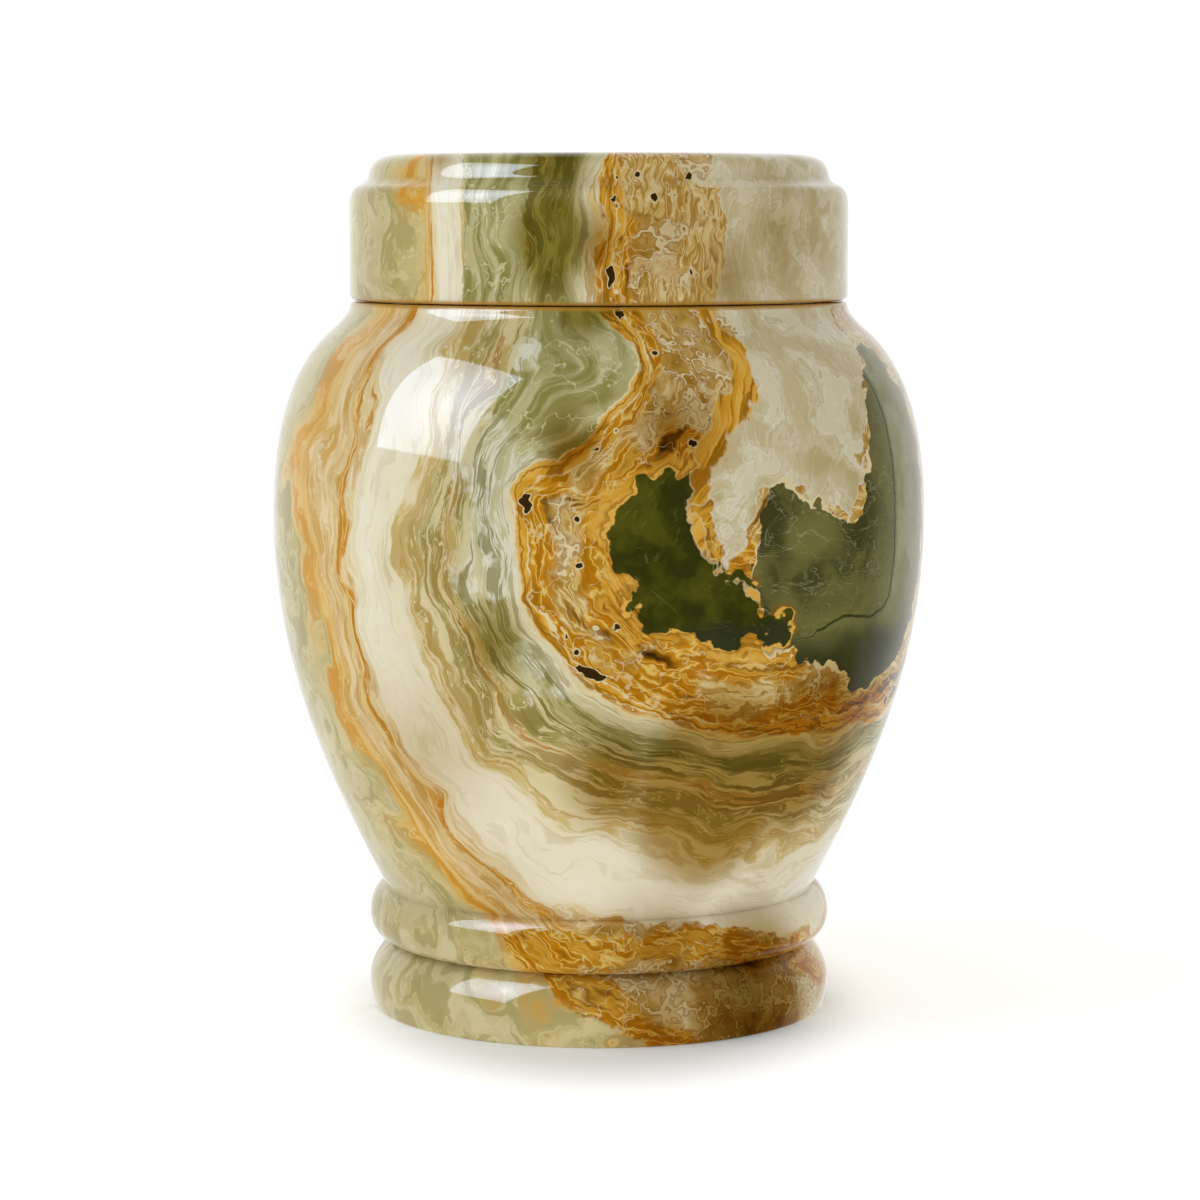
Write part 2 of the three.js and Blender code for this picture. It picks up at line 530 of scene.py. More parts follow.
LID_FIGURE = Figure(
    courses=(
        Course(((8, 320), (4, 262), (2, 200))),
        Course(((-28, 320), (-30, 262), (-29, 200))),
        Course(((-58, 320), (-60, 262), (-58, 200))),
        Course(((-76, 320), (-77, 262), (-76, 200))),
        Course(((-79, 320), (-80, 262), (-79, 200))),
        Course(((-190, 320), (-196, 262), (-190, 200))),
    ),
    rope=Course(((7, 200), (6, 246), (2, 256), (8, 268), (5, 280), (9, 320))),
    rope_reach=((240, 3.6), (255, 3.0), (270, 4.6), (290, 2.4)),
    cream=Course(((57, 200), (55, 262), (60, 320), (220, 330), (220, 190)), closed=True),
    milk=Course(((-58, 200), (-59, 262), (-57, 320), (-27, 320), (-31, 262), (-30, 200)), closed=True),
    stain=(
        (0, 262, 16, 0.9), (30, 266, 36, 0.5), (56, 250, 30, 0.7), (84, 262, 34, 0.7),
        (110, 262, 70, 0.3), (-72, 290, 12, 1.0), (-124, 258, 40, 0.3),
    ),
    shade=((-20, 262, 24, 1.7), (-20, 290, 24, 1.4)),
    layer_width=30.0,
)


class Stone(Enum):
    """The colours of the stone, and two painted ones: the shade inside small holes and the glow at the lid's
    seam.
    """

    AMBER = "#d2982a"
    PALE_AMBER = "#dcac4c"
    BURNT_AMBER = "#8e5c0c"
    # Painted shade: the dark inside small holes in the stone, which the smooth surface doesn't have.
    PAINTED_HOLE_SHADE = "#38240a"
    RIM = "#e0cf9e"
    LACE = "#dccb9e"
    CREAM = "#c8b88f"
    CREAM_LIGHT = "#dcd1b2"
    CREAM_SHADE = "#b5a470"
    CORE = "#34350b"
    CORE_LIGHT = "#514f12"
    POOL = "#44421f"
    POOL_PALE = "#97926c"
    POOL_LIGHT = "#77723f"
    POOL_DEEP = "#31351f"
    CRACK = "#3c401c"
    MILK = "#8e8647"
    MILK_LIGHT = "#c0b886"
    WISP = "#d3cda2"
    FROST = "#dfdac4"
    STAIN = "#bfa870"
    OLIVE_TINT = "#b2aa68"
    # Painted glow: amber light through the stone's thin edges along the seam under the lid, laid over the
    # seam's shade.
    SEAM = "#b88a30"


@dataclass(frozen=True)
class Strata:
    """Colours laid down one after the other along a signal, as pairs of the signal and the colour."""

    stops: tuple[tuple[float, str], ...]

    def coloured(self, tree: bpy.types.NodeTree, signal: Signal) -> bpy.types.Node:
        """Colours a signal.

        Args:
            tree: The material's nodes.
            signal: The signal that the strata follow.

        Returns:
            A node with the colour, and the colour's strength as its alpha.
        """
        first, last = self.stops[0][0], self.stops[-1][0]
        share = add_node(tree, "MapRange", (signal, first, last, 0.0, 1.0))
        ramp = add_node(tree, "ValToRGB", (share,))
        elements = ramp.color_ramp.elements
        elements[0].color = linear(self.stops[0][1])
        elements[1].color = linear(self.stops[-1][1])
        for place, shade in self.stops[1:-1]:
            elements.new((place - first) / (last - first)).color = linear(shade)
        return ramp


# From the vein to the white band: pale edge, glassy green, then fine bands.
GREEN_STRATA = Strata((
    (-0.40, "#b07c22"), (0.00, "#b8790f"), (0.06, "#dcc07a"), (0.16, "#e2d8b4"), (0.38, "#d2c69e"),
    (0.46, "#a49a5e"), (0.54, "#8d8546"), (0.62, "#a59b5c"), (0.72, "#867d3a"), (0.83, "#a89e62"),
    (0.89, "#cfc188"), (0.96, "#92863f"), (1.04, "#c8b882"), (1.11, "#8a7c36"), (1.19, "#b4a462"),
    (1.28, "#c49c56"), (1.34, "#9c7228"), (1.40, "#d6c28a"), (1.48, "#978640"), (1.58, "#ad9c5c"),
    (1.67, "#9a8a44"), (1.76, "#c4b27a"), (1.85, "#b49c54"), (1.92, "#d4c28a"), (1.98, "#ba9440"),
    (2.05, "#dac998"),
))
# The white band and the amber ribbon.
RIBBON_STRATA = Strata((
    (1.95, "#dac998"), (2.08, "#cbb26e"), (2.14, "#e6d9b6"), (2.30, "#e8ddbe"), (2.60, "#efe7d0"),
    (2.84, "#eee3c8"), (2.95, "#dcc488"), (3.01, "#c4821a"), (3.06, "#e2b862"), (3.12, "#c98c28"),
    (3.19, "#dcc691"), (3.34, "#cfad72"), (3.48, "#dcc390"), (3.62, "#d4aa5e"), (3.76, "#e0be78"),
    (3.87, "#dcae54"), (3.93, "#d49836"), (3.98, "#dcb05c"), (4.04, "#cdbc80"),
))
# The pale green outside the ribbon, round the back and on to the vein's far end.
OUTER_STRATA = Strata((
    (4.00, "#cdbe82"), (4.15, "#bcac74"), (4.32, "#c8ba8e"), (4.50, "#b9ab74"), (4.70, "#c9bc90"),
    (4.90, "#beae78"), (4.98, "#c8b884"), (5.03, "#aa7626"), (5.08, "#d6c088"), (5.15, "#8e8444"),
    (5.38, "#7c7236"), (5.52, "#b8a874"), (5.64, "#dccfae"), (5.95, "#d6c8a4"), (6.20, "#b9ab7a"),
    (6.60, "#c4b686"), (7.10, "#b2a674"), (7.60, "#bdb088"),
))

# The streaks that run along the layers. The last two digits say how strongly they show.
DARK_STREAKS = Strata((
    (-0.3, "#8a5a14ff"), (0.1, "#a8884cb0"), (0.4, "#7a743ca0"), (0.9, "#766e34d0"), (1.4, "#9c8246c0"),
    (1.9, "#b08e4c60"), (2.1, "#b99f6480"), (2.4, "#cbbc9850"), (2.85, "#cfb98650"), (3.0, "#b87a1cff"),
    (3.3, "#c69642a0"), (3.8, "#d0a04aa0"), (3.95, "#d09432d0"), (4.1, "#9d935c90"), (4.8, "#9b905e80"),
    (5.2, "#645a28c0"), (6.0, "#b59a6080"), (8.0, "#9c8e5a90"),
))
PALE_STREAKS = Strata((
    (-0.3, "#e2c98cff"), (0.1, "#dcd0a8c0"), (0.4, "#a7a068b0"), (0.9, "#cfc391e0"), (1.4, "#dcca9ae0"),
    (1.9, "#dfd0a4e0"), (2.3, "#ece4cf90"), (2.9, "#e8dcbcb0"), (3.1, "#e6c886ff"), (3.5, "#ead6a8d0"),
    (3.95, "#e2bf7ae0"), (4.2, "#d4caa090"), (5.0, "#d8cc9ca0"), (8.0, "#d4caa090"),
))

# Broken stone inside the vein: a noise crosses these, so each narrow pale stop is a line of lace.
PALE_BRECCIA = Strata((
    (0.26, "#4a300c"), (0.34, "#855c1a"), (0.37, "#b78a3c"), (0.385, "#e0ca8e"), (0.40, "#ad843a"),
    (0.44, "#c29a4c"), (0.455, "#e6d6a6"), (0.47, "#c8a45a"), (0.51, "#a98038"), (0.525, "#dcc484"),
    (0.54, "#caa658"), (0.58, "#e0ce98"), (0.60, "#a87e34"), (0.64, "#cfb272"), (0.72, "#e4d29c"),
))
AMBER_BRECCIA = Strata((
    (0.26, "#3a2406"), (0.34, "#7a4e0c"), (0.39, "#b4780e"), (0.43, "#ca8c1c"), (0.442, "#e6c66e"),
    (0.46, "#bb7a10"), (0.50, "#a56c0a"), (0.53, "#c58a1e"), (0.545, "#e2c068"), (0.56, "#b67c12"),
    (0.60, "#cf9c38"), (0.65, "#8c5a0e"), (0.72, "#d8b264"),
))
# Smooth plates of stone, darker in the middle and pale towards the rim.
PLATES = Strata((
    (0.10, "#906a1e"), (0.30, "#a87f34"), (0.50, "#bc9950"), (0.66, "#cbb078"), (0.80, "#d8c695"),
    (1.00, "#e4d9b4"),
))


@dataclass(frozen=True)
class Coat:
    """A colour that covers the stone up to an edge, beyond it or along a line."""

    colour: Stone | Signal
    signal: Signal
    edge: float = 0.0
    soft: float = 0.5
    beyond: bool = False
    line_at: float | None = None
    weight: Signal | float = 1.0
    blend: str = "MIX"


@dataclass(frozen=True)
class Grain:
    """The signals that the stone's figure is drawn from."""

    place: Signal
    height: Signal
    readings: dict[Reading, tuple[Signal, ...]]
    swell: tuple[Signal, ...]
    torn: tuple[Signal, ...]
    scallop: Signal
    pit: Signal
    pit_kept: Signal
    layer: Signal
    streaks: Signal
    threads: Signal
    cloud: Signal


@dataclass
class PolishedOnyx:
    """Banded onyx marble, turned and polished on the wheel.

    Calcite laid down in layers: soft pale bands, iron-stained amber seams and glassy green. The polish
    gives crisp reflections over the whole surface. Sizes, widths, stains and borders are in millimetres.
    The four numbers of a MapRange are the ends of the signal and what they are turned into.
    """

    name: str = "polished_onyx_marble"
    layer_width: float = 26.0
    wide_swell: float = 26.0
    ragged_swell: float = 6.5
    noise_roughness: float = 0.55
    layer_bend: Place = (0.8, 0.12)
    streak_shift: float = 0.6
    scallop_size: float = 8.0
    pit_spacing: float = 6.0
    streak_length: float = 36.0
    streak_width: float = 4.5
    thread_length: float = 24.0
    thread_width: float = 2.3
    breccia_length: float = 32.0
    breccia_width: float = 6.2
    cloud_size: float = 13.0
    cloud_drift: float = 10.0
    plate_size: float = 12.0
    plate_drift: float = 16.0
    whole_height: float = 115.0
    broken_from: Place = (55.0, 98.0)
    broken_share: Place = (-0.08, 0.14)
    broken_share_of_lid: float = -0.05
    core_stain: float = 14.5
    vein_stain: float = 7.5
    foot_stain: float = 6.0
    amber_border: float = 5.5
    seam_height: float = 240.65
    seam_width: float = 0.1
    roughness: float = 0.05
    ior: float = 1.53

    def __post_init__(self) -> None:
        """Makes the empty material."""
        self.material = bpy.data.materials.new(self.name)
        self.material.use_nodes = True
        self.tree = self.material.node_tree
        self.tree.nodes.clear()

    def add(self, kind: str, inputs: Inputs = (), **settings: object) -> bpy.types.Node:
        """Adds a node to the stone, as add_node does."""
        return add_node(self.tree, kind, inputs, **settings)

    def laid_over(self, base: Stone | Signal, *coats: Coat) -> Signal:
        """Lays coats of colour over each other.

        Args:
            base: The colour underneath.
            *coats: The coats, from the lowest up.

        Returns:
            The colour on top.
        """
        base = linear(base.value) if isinstance(base, Stone) else base
        for coat in coats:
            signal = coat.signal
            if coat.line_at is not None:
                off = self.add("Math", (signal, coat.line_at), operation="SUBTRACT")
                signal = self.add("Math", (off,), operation="ABSOLUTE")
            soft = -coat.soft if coat.beyond else coat.soft
            ends = (signal, coat.edge - soft / 2, coat.edge + soft / 2, coat.weight, 0.0)
            mask = self.add("MapRange", ends, interpolation_type="SMOOTHSTEP")
            colour = linear(coat.colour.value) if isinstance(coat.colour, Stone) else coat.colour
            mixed = {0: mask, 6: base, 7: colour}
            base = self.add("Mix", mixed, data_type="RGBA", blend_type=coat.blend).outputs[2]
        return base

    def moved(self, distance: Signal, *shifts: tuple[Signal, float]) -> Signal:
        """Moves an edge.

        Args:
            distance: The distance from the edge.
            *shifts: Signals, and how many millimetres one unit of each moves the edge.

        Returns:
            The new distance.
        """
        for signal, reach in shifts:
            distance = self.add("Math", (signal, reach, distance), operation="MULTIPLY_ADD")
        return distance

    def drawn_out(self, place: Signal, length: float, across: Signal, width: float, detail: float) -> Signal:
        """Makes a noise whose shapes are drawn out along the lines where a signal is even.

        Args:
            place: The place in millimetres.
            length: The length of the shapes, in millimetres.
            across: The signal.
            width: The width of the shapes, in the signal's own unit.
            detail: How many finer shapes are added.

        Returns:
            The noise, about 0.5 on average.
        """
        inputs = {
            "Vector": self.add("VectorMath", {0: place, 3: 1 / length}, operation="SCALE"),
            "W": self.add("Math", (across, 1 / width), operation="MULTIPLY"),
            "Scale": 1.0,
            "Detail": detail,
            "Roughness": self.noise_roughness,
        }
        return self.add("TexNoise", inputs, noise_dimensions="4D")

    def grain(self) -> Grain:
        """Makes the signals that the figure is drawn from.

        Returns:
            The signals.
        """
        add = self.add
        place = add("VectorMath", {0: add("TexCoord").outputs["Object"], 3: 1 / MM}, operation="SCALE")
        height = add("SeparateXYZ", (place,)).outputs[2]
        readings = {
            reading: add(
                "SeparateXYZ", (add("Attribute", attribute_name=reading.value).outputs["Vector"],)
            ).outputs
            for reading in Reading
        }
        centred = []
        for size, detail in ((self.wide_swell, 1.0), (self.ragged_swell, 2.0)):
            inputs = {
                "Vector": place,
                "Scale": 1 / size,
                "Detail": detail,
                "Roughness": self.noise_roughness,
            }
            noise = add("TexNoise", inputs).outputs["Color"]
            centred.append(add("VectorMath", (noise, (0.5, 0.5, 0.5)), operation="SUBTRACT"))
        swell, torn = (tuple(add("SeparateXYZ", (vector,)).outputs) for vector in centred)
        in_swell, in_tear = self.layer_bend
        bent = self.moved(readings[Reading.LAYERS][0], (swell[0], in_swell), (torn[0], in_tear))
        streak = self.streak_width / self.layer_width
        streaks = self.drawn_out(place, self.streak_length, bent, streak, 3.0)
        shift = add("Math", (streaks, 0.5), operation="SUBTRACT")
        layer = self.moved(bent, (shift, self.streak_shift))
        thread = self.thread_width / self.layer_width
        threads = self.drawn_out(place, self.thread_length, layer, thread, 2.0)
        reach = (self.cloud_drift,) * 3
        drift = add("VectorMath", (centred[1], reach, place), operation="MULTIPLY_ADD")
        cloud = add("TexNoise", {"Vector": drift, "Scale": 1 / self.cloud_size, "Detail": 2.0})
        scallop = add("TexVoronoi", {"Vector": place, "Scale": 1 / self.scallop_size}, feature="F1")
        pits = add("TexVoronoi", {"Vector": place, "Scale": 1 / self.pit_spacing}, feature="F1")
        kept = add("SeparateXYZ", (pits.outputs["Color"],)).outputs[0]
        return Grain(
            place, height, readings, swell, torn, scallop, pits, kept, layer, streaks, threads, cloud
        )

    def bands(self, grain: Grain) -> Signal:
        """Draws the layers outside the vein, with the streaks that run along them.

        Args:
            grain: The signals.

        Returns:
            The colour.
        """
        green, ribbon, outer, dark, pale = (
            strata.coloured(self.tree, grain.layer)
            for strata in (GREEN_STRATA, RIBBON_STRATA, OUTER_STRATA, DARK_STREAKS, PALE_STREAKS)
        )
        return self.laid_over(
            outer,
            Coat(ribbon, grain.layer, 4.02, 0.04),
            Coat(green, grain.layer, 2.0, 0.06),
            Coat(dark, grain.threads, 0.45, 0.10, weight=dark.outputs["Alpha"]),
            Coat(pale, grain.threads, 0.56, 0.08, beyond=True, weight=pale.outputs["Alpha"]),
            Coat(pale, grain.threads, 0.008, 0.008, line_at=0.475, weight=pale.outputs["Alpha"]),
        )

    def breccia(self, grain: Grain, amber_gap: Signal) -> Signal:
        """Draws the broken stone inside the vein, in folds along the vein laced with pale lines.

        Towards the vessel's foot and neck, and in a part of the lid, the folds give way to plates.

        Args:
            grain: The signals.
            amber_gap: The distance from where the stone is stained amber, less than 0 inside it.

        Returns:
            The colour.
        """
        across = self.moved(grain.readings[Reading.LAYERS][1], (grain.torn[0], 7.0), (grain.swell[1], 8.0))
        pieces = self.drawn_out(grain.place, self.breccia_length, across, self.breccia_width, 2.0)
        pale, amber = (strata.coloured(self.tree, pieces) for strata in (PALE_BRECCIA, AMBER_BRECCIA))
        off = self.add("Math", (grain.height, self.whole_height), operation="SUBTRACT")
        off = self.add("Math", (off,), operation="ABSOLUTE")
        high = self.add("MapRange", (off, *self.broken_from, *self.broken_share))
        at_seam = (self.seam_height - self.seam_width, self.seam_height + self.seam_width)
        high = self.add("MapRange", (grain.height, *at_seam, high, self.broken_share_of_lid))
        plated = self.moved(high, (grain.swell[0], 1.0), (grain.torn[1], 0.3))
        return self.laid_over(
            pale,
            Coat(self.plates(grain), plated, 0.0, 0.04, beyond=True),
            Coat(amber, self.moved(amber_gap, (grain.torn[2], 8.0)), 0.0, 4.0),
            Coat(Stone.LACE, grain.cloud, 0.006, 0.008, line_at=0.52, weight=0.6),
        )

    def plates(self, grain: Grain) -> Signal:
        """Draws the smooth, see-through plates that the broken stone is in parts, each in a pale rim.

        Args:
            grain: The signals.

        Returns:
            The colour.
        """
        bend = self.add("CombineXYZ", grain.torn)
        reach = (self.plate_drift,) * 3
        place = self.add("VectorMath", (bend, reach, grain.place), operation="MULTIPLY_ADD")
        cells = {"Vector": place, "Scale": 1 / self.plate_size}
        plate = self.add("TexVoronoi", cells, feature="F1")
        edge = self.add("TexVoronoi", cells, feature="DISTANCE_TO_EDGE")
        tone = self.add("SeparateXYZ", (plate.outputs["Color"],)).outputs[0]
        shade = self.moved(self.add("Math", (plate, 0.75), operation="MULTIPLY"), (tone, 0.45))
        shade = self.moved(shade, (grain.cloud, 0.7), (grain.threads, 0.35))
        shade = self.add("Math", (shade, 0.52), operation="SUBTRACT")
        rim = self.moved(edge, (grain.cloud, -0.20))
        return self.laid_over(
            PLATES.coloured(self.tree, shade),
            Coat(Stone.BURNT_AMBER, rim, 0.00, 0.10, weight=0.6),
            Coat(Stone.LACE, rim, -0.065, 0.03),
        )

    def milk(self, grain: Grain) -> Signal:
        """Draws the milky green below the neck, with drifting pale wisps.

        Args:
            grain: The signals.

        Returns:
            The colour.
        """
        return self.laid_over(
            Stone.MILK,
            Coat(Stone.MILK_LIGHT, grain.streaks, 0.52, 0.22, beyond=True),
            Coat(Stone.MILK_LIGHT, grain.threads, 0.56, 0.10, beyond=True, weight=0.5),
            Coat(Stone.WISP, grain.cloud, 0.007, 0.010, line_at=0.54, weight=0.8),
            Coat(Stone.WISP, grain.streaks, 0.008, 0.012, line_at=0.55, weight=0.7),
        )

    def cream(self, grain: Grain) -> Signal:
        """Draws the cream mass on the right shoulder, softly folded.

        Args:
            grain: The signals.

        Returns:
            The colour.
        """
        return self.laid_over(
            Stone.CREAM,
            Coat(Stone.CREAM_SHADE, grain.swell[2], 0.06, 0.14, beyond=True, weight=0.7),
            Coat(Stone.CREAM_LIGHT, grain.cloud, 0.49, 0.16, beyond=True, weight=0.8),
            Coat(Stone.CREAM_SHADE, grain.cloud, 0.012, 0.045, line_at=0.545, weight=0.55),
            Coat(Stone.FROST, grain.cloud, 0.010, 0.040, line_at=0.58, weight=0.8),
            Coat(Stone.FROST, grain.streaks, 0.006, 0.035, line_at=0.5, weight=0.6),
            Coat(Stone.CREAM_SHADE, grain.streaks, 0.004, 0.025, line_at=0.53, weight=0.5),
        )

    def pool(self, grain: Grain) -> Signal:
        """Draws the glassy grey-green pool, with a few pale branching lines.

        Args:
            grain: The signals.

        Returns:
            The colour.
        """
        crack = grain.readings[Reading.LAYERS][2]
        cloudy = self.add("MapRange", (grain.cloud, 0.40, 0.58, 0.25, 0.95))
        upper = self.add("MapRange", (grain.height, 136.0, 152.0, 0.0, cloudy))
        beside = self.add("MapRange", (crack, -32.0, -14.0, 0.15, upper))
        deep = self.moved(grain.height, (grain.swell[2], 22.0))
        return self.laid_over(
            Stone.POOL,
            Coat(Stone.POOL_LIGHT, grain.swell[1], 0.03, 0.16, beyond=True, weight=0.9),
            Coat(Stone.POOL_LIGHT, grain.cloud, 0.54, 0.16, beyond=True, weight=0.5),
            Coat(Stone.WISP, grain.cloud, 0.003, 0.020, line_at=0.46, weight=0.35),
            Coat(Stone.WISP, grain.streaks, 0.003, 0.016, line_at=0.52, weight=0.3),
            Coat(Stone.POOL_LIGHT, crack, 12.0, 18.0, weight=0.6),
            Coat(Stone.POOL_DEEP, deep, 135.0, 12.0, weight=0.8),
            Coat(Stone.POOL_PALE, crack, -1.5, 4.0, weight=beside),
            Coat(Stone.CRACK, self.moved(crack, (grain.torn[2], 2.0)), 0.5, 0.5, line_at=0.0),
        )

    def core(self, grain: Grain) -> Signal:
        """Draws the dark green glass in the middle of the figure.

        Args:
            grain: The signals.

        Returns:
            The colour.
        """
        deep = self.moved(grain.height, (grain.swell[2], 12.0))
        return self.laid_over(
            Stone.CORE,
            Coat(Stone.CORE_LIGHT, grain.cloud, 0.52, 0.30, beyond=True),
            Coat(Stone.POOL_DEEP, deep, 142.0, 5.0, weight=0.8),
            Coat(Stone.MILK, grain.streaks, 0.002, 0.016, line_at=0.56, weight=0.4),
        )

    def patches(self, base: Signal, grain: Grain, seam: Signal) -> Signal:
        """Lays the patches of green glass and cream over the layers, each in its amber border.

        Args:
            base: The colour of the layers.
            grain: The signals.
            seam: The colour of the amber seams.

        Returns:
            The colour.
        """
        core, pool, cream = grain.readings[Reading.PATCHES]
        rope, milk, foot = grain.readings[Reading.ACCENTS]
        swell, torn, scallop = grain.swell, grain.torn, grain.scallop
        ragged = ((torn[1], 9.0), (scallop, 6.0), (grain.threads, 3.0))
        core = self.moved(core, (swell[2], 12.0), *ragged)
        pool = self.moved(pool, (swell[0], 10.0), *ragged)
        cream = self.moved(cream, (swell[2], 12.0), (torn[2], 11.0), (scallop, 4.0), (grain.threads, 2.0))
        rope = self.moved(rope, (torn[0], 9.0), (swell[0], 10.0), (scallop, 3.0))
        uneven = self.add("MapRange", (grain.cloud, 0.40, 0.60, -1.2, 1.8))
        core_rim = self.add("Math", (core, uneven), operation="SUBTRACT")
        pool_rim = self.add("Math", (pool, uneven), operation="SUBTRACT")
        halo = self.add("MapRange", (grain.cloud, 0.4, 0.6, 5.0, 14.0))
        core_halo = self.add("Math", (core, halo), operation="SUBTRACT")
        pool_halo = self.moved(pool, (halo, -0.5))
        return self.laid_over(
            base,
            Coat(self.milk(grain), self.moved(milk, (torn[2], 7.0))),
            Coat(seam, core_halo, 0.0, 3.0, weight=0.85),
            Coat(self.cream(grain), cream),
            Coat(Stone.FROST, cream, 0.4, 0.8, line_at=0.0, weight=0.6),
            Coat(seam, pool_halo, 0.0, 1.0),
            Coat(Stone.RIM, pool_rim, 5.9, 0.4),
            Coat(self.pool(grain), pool, self.amber_border),
            Coat(Stone.BURNT_AMBER, core_rim, 6.2, 2.2, weight=0.7),
            Coat(Stone.PALE_AMBER, core_rim, 5.1, 0.6),
            Coat(self.core(grain), core, self.amber_border),
            Coat(Stone.RIM, rope, 2.1, weight=0.6),
            Coat(seam, rope, 1.5, 1.6),
        )

    def vein(self, base: Signal, grain: Grain, vein_gap: Signal, seam: Signal) -> Signal:
        """Draws the amber vein, with the painted shade of small holes strung along its inner side, each in a
        pale ring.

        Args:
            base: The colour of the stone round it.
            grain: The signals.
            vein_gap: The distance from the middle of the vein, less than 0 on its inner side.
            seam: The colour of the amber seams.

        Returns:
            The colour.
        """
        breadth = self.add("MapRange", (grain.swell[2], -0.15, 0.15, 0.9, 3.0))
        off = self.add("Math", (vein_gap,), operation="ABSOLUTE")
        reach = self.add("Math", (off, breadth), operation="SUBTRACT")
        inner = self.add("Math", (self.moved(vein_gap, (breadth, 1.0)), 0.6), operation="ADD")
        inner = self.add("Math", (inner,), operation="ABSOLUTE")
        beads = self.add("MapRange", (grain.cloud, 0.36, 0.48, 2.2, -1.2))
        hollow = self.add("Math", (inner, beads), operation="SUBTRACT")
        uneven = self.add("MapRange", (grain.threads, 0.45, 0.6, 0.1, 1.0))
        return self.laid_over(
            base,
            Coat(Stone.RIM, self.add("Math", (reach, uneven), operation="SUBTRACT")),
            Coat(seam, reach, 0.0, 0.8),
            Coat(Stone.BURNT_AMBER, vein_gap, 0.25, 0.3, line_at=0.3, weight=0.8),
            # Painted shade of small holes along the vein's inner side, each in a pale ring.
            Coat(Stone.RIM, hollow, 0.45, 0.3),
            Coat(Stone.PAINTED_HOLE_SHADE, hollow, 0.0, 0.3),
        )

    def figure(self, grain: Grain) -> Signal:
        """Draws the whole figure of the stone.

        Args:
            grain: The signals.

        Returns:
            The colour.
        """
        across = grain.readings[Reading.LAYERS][1]
        stain, shade, frost = grain.readings[Reading.TINTS]
        foot = grain.readings[Reading.ACCENTS][2]
        vein_gap = self.moved(across, (grain.swell[1], 8.0), (grain.torn[1], 6.0))
        core_near = self.moved(grain.readings[Reading.PATCHES][0], (grain.swell[2], 40.0))
        vein_near = self.add("Math", (self.moved(vein_gap, (grain.swell[0], 20.0)),), operation="ABSOLUTE")
        amber_gap = self.add("Math", (core_near, self.core_stain), operation="SUBTRACT")
        vein_stained = self.add("Math", (vein_near, self.vein_stain), operation="SUBTRACT")
        foot_stained = self.moved(foot, (grain.swell[2], 16.0), (grain.torn[1], 8.0))
        foot_stained = self.add("Math", (foot_stained, self.foot_stain), operation="ADD")
        foot_stained = self.add("Math", (foot_stained,), operation="ABSOLUTE")
        foot_stained = self.add("Math", (foot_stained, self.foot_stain), operation="SUBTRACT")
        amber_gap = self.add("Math", (amber_gap, vein_stained), operation="MINIMUM")
        amber_gap = self.add("Math", (amber_gap, foot_stained), operation="MINIMUM")
        seam = self.laid_over(
            Stone.AMBER,
            Coat(Stone.PALE_AMBER, grain.threads, 0.55, 0.12, beyond=True),
            Coat(Stone.BURNT_AMBER, grain.threads, 0.45, 0.12, weight=0.8),
        )
        broken = self.breccia(grain, amber_gap)
        base = self.laid_over(
            self.bands(grain),
            Coat(broken, vein_gap),
            Coat(broken, self.moved(foot, (grain.torn[1], 8.0)), 0.0, 1.0),
        )
        base = self.patches(base, grain, seam)
        base = self.vein(base, grain, vein_gap, seam)
        near = self.add("Math", (grain.threads, 0.5), operation="SUBTRACT")
        near = self.add("Math", (near,), operation="ABSOLUTE")
        net = self.add("MapRange", (near, 0.02, 0.07, 0.9, 0.2), interpolation_type="SMOOTHSTEP")
        net = self.add("MapRange", (vein_gap, 0.5, 3.0, 0.0, net))
        pit = self.moved(grain.pit, (grain.threads, 0.5), (grain.torn[2], 0.5))
        keep = self.add("MapRange", (grain.pit_kept, 0.80, 0.82, 0.0, 1.0))
        stony = self.add("MapRange", (vein_gap, -1.0, -3.0, 0.0, keep))
        for patch in grain.readings[Reading.PATCHES]:
            stony = self.add("MapRange", (patch, 4.0, 5.5, 0.0, stony))
        return self.laid_over(
            base,
            # Painted shade of small holes in the broken stone, each in a pale ring, kept away from the
            # patches.
            Coat(Stone.RIM, pit, 0.47, 0.05, weight=stony),
            Coat(Stone.PAINTED_HOLE_SHADE, pit, 0.40, 0.05, weight=stony),
            Coat(Stone.FROST, self.moved(frost, (grain.torn[0], 2.0)), 0.1, 0.6, beyond=True, weight=net),
            Coat(Stone.FROST, self.moved(frost, (grain.torn[0], 4.0)), 1.4, 0.5, beyond=True, weight=0.8),
            Coat(Stone.STAIN, stain, 0.5, 1.0, beyond=True, blend="MULTIPLY"),
            Coat(Stone.OLIVE_TINT, shade, 0.5, 1.0, beyond=True, blend="MULTIPLY"),
            # Painted glow: an amber band at the seam between lid and vessel stands in for light through the
            # stone's thin edges there, and lightens the seam's shade.
            Coat(Stone.SEAM, grain.height, 1.3, 1.2, line_at=self.seam_height, weight=0.85),
        )

    def build(self) -> bpy.types.Material:
        """Builds the material.

        Returns:
            The material.
        """
        finish = {"Base Color": self.figure(self.grain()), "Roughness": self.roughness, "IOR": self.ior}
        self.add("OutputMaterial", {"Surface": self.add("BsdfPrincipled", finish)})
        return self.material


